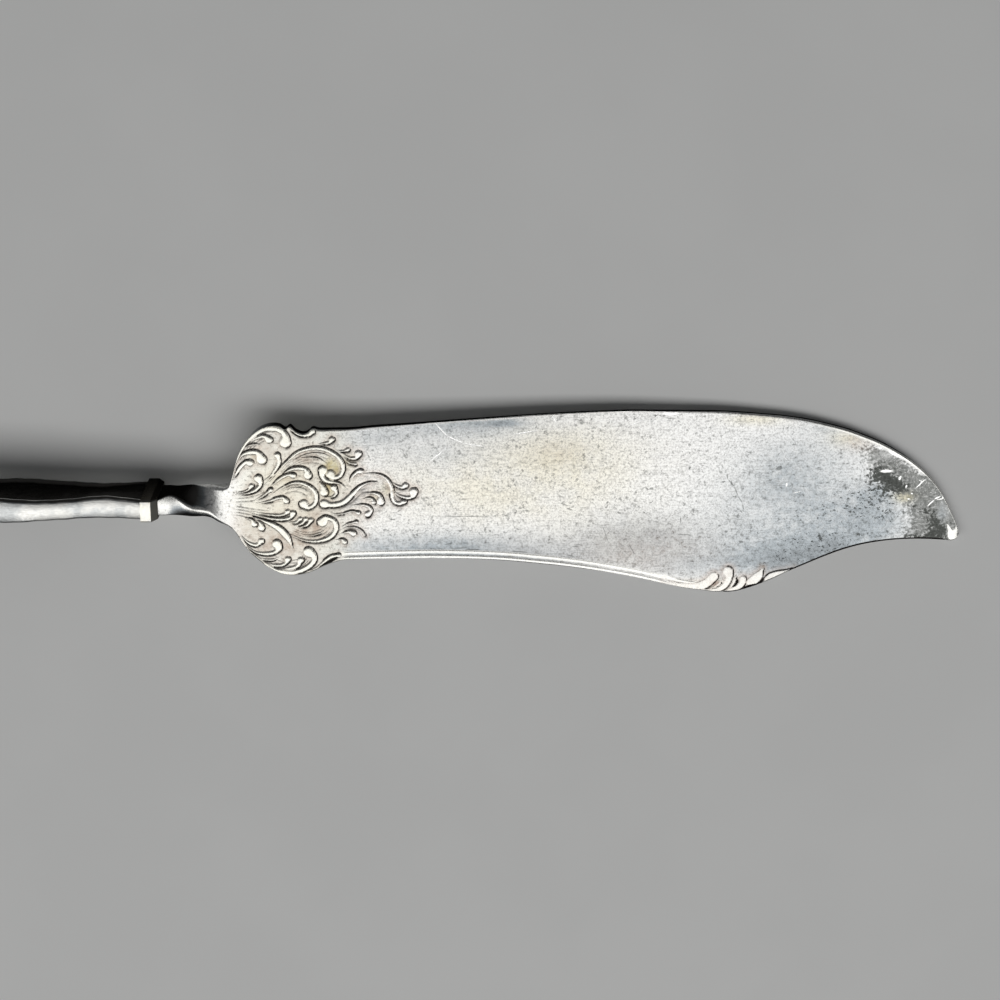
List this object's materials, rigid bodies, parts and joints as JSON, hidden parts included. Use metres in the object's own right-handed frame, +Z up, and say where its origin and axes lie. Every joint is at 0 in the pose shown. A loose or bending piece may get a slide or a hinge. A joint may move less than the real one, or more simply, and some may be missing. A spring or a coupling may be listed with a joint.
{
  "type": "master butter knife",
  "caption": "Flat serving knife for butter: broad curved blade with scroll-ornamented shoulders, twisted neck and a hollow handle that stands on its edge.",
  "frame": {"origin": "middle of the knife's box, on the table it lies on", "axes": "+X from the handle to the tip, +Y towards the cutting edge, +Z up, out of the blade's face"},
  "size_m": [0.1852, 0.0226, 0.0158],
  "materials": {
    "worn_silver_blade": "old silver plate, satin, hairline scratches, dark tarnish in the recesses",
    "silver_collar": "old silver plate, worn bright",
    "silver_handle": "old silver plate, bright on the edges, dark in the recesses",
    "cement": "matt brown filler"
  },
  "bodies": {
    "root": {"blade": "worn_silver_blade", "handle_collar": "silver_collar", "handle_front_shell": "silver_handle", "handle_back_shell": "silver_handle", "handle_cement": "cement"}
  },
  "joints": []
}
